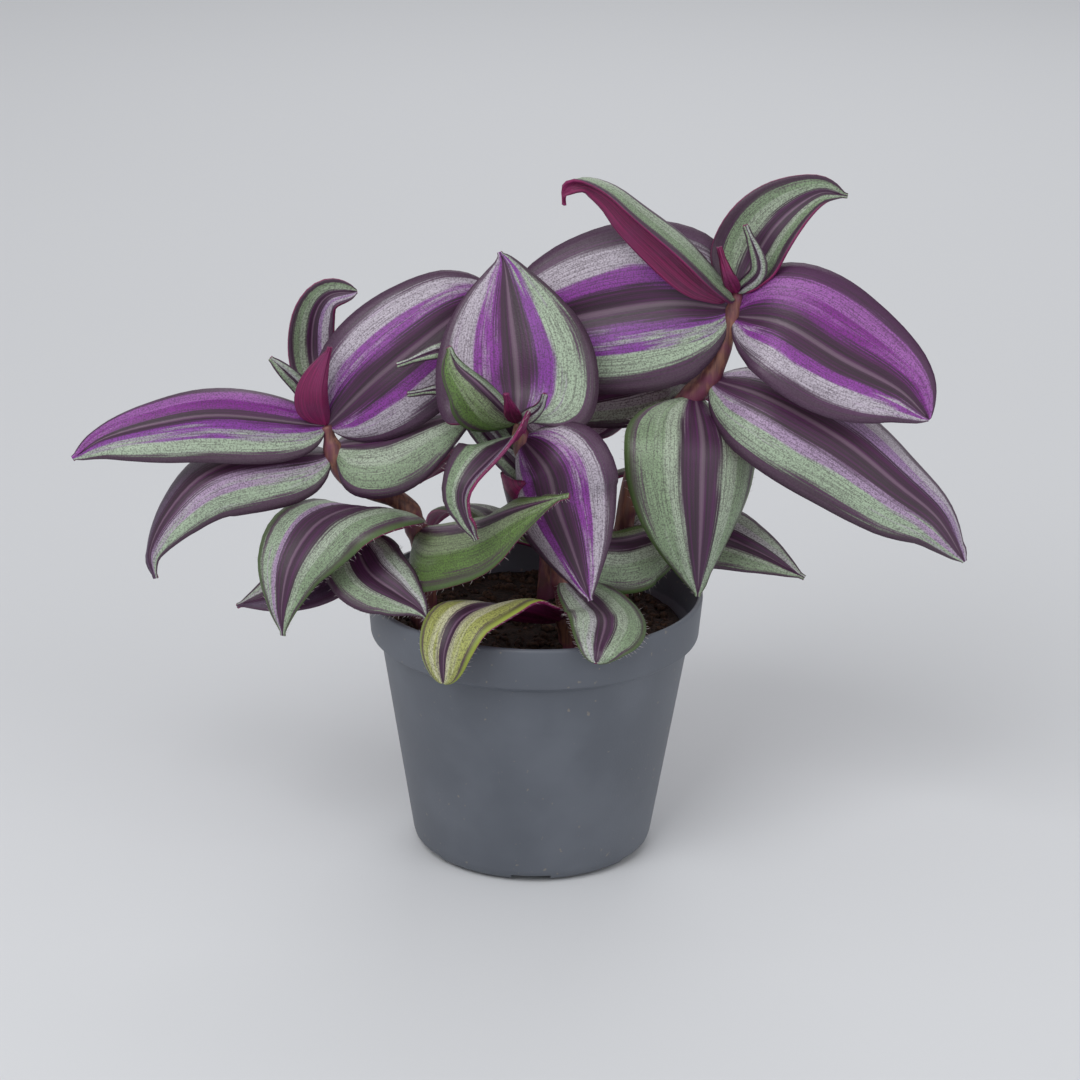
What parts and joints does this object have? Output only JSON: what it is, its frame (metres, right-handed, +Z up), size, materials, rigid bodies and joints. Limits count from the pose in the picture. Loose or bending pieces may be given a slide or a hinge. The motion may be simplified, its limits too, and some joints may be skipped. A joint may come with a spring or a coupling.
{
  "type": "potted tradescantia",
  "caption": "Trailing house plant with striped silver, purple and green leaves in a small tapered grey nursery pot.",
  "frame": {"origin": "centre of the pot's foot, on the ground", "axes": "+Z up, the plant's fuller side faces -Y, its widest spread lies along X"},
  "size_m": [0.1559, 0.0891, 0.1236],
  "materials": {
    "pot": "matte moulded plastic",
    "soil": "loose dark potting soil",
    "stem": "smooth fleshy stem",
    "leaf": "satin leaf with a glittering surface"
  },
  "bodies": {
    "root": {"pot": "pot", "soil": "soil", "stem_left": "stem", "stem_left_low": "stem", "stem_centre": "stem", "stem_right": "stem", "stem_back": "stem", "leaf_left_1": "leaf", "leaf_left_2": "leaf", "leaf_left_3": "leaf", "leaf_left_4": "leaf", "leaf_left_5": "leaf", "leaf_left_6": "leaf", "leaf_left_7": "leaf", "leaf_left_8": "leaf", "leaf_left_9": "leaf", "leaf_left_10": "leaf", "leaf_left_11": "leaf", "leaf_centre_1": "leaf", "leaf_centre_2": "leaf", "leaf_centre_3": "leaf", "leaf_centre_4": "leaf", "leaf_centre_5": "leaf", "leaf_centre_6": "leaf", "leaf_centre_7": "leaf", "leaf_centre_8": "leaf", "leaf_right_1": "leaf", "leaf_right_2": "leaf", "leaf_right_3": "leaf", "leaf_right_4": "leaf", "leaf_right_5": "leaf", "leaf_right_6": "leaf", "leaf_right_7": "leaf", "leaf_right_8": "leaf", "leaf_right_9": "leaf", "leaf_low_1": "leaf", "leaf_low_2": "leaf", "leaf_low_3": "leaf", "leaf_low_4": "leaf", "leaf_back_1": "leaf", "leaf_back_2": "leaf", "leaf_back_3": "leaf", "leaf_back_4": "leaf", "leaf_back_5": "leaf", "leaf_back_6": "leaf", "leaf_back_7": "leaf", "leaf_back_8": "leaf"}
  },
  "joints": []
}
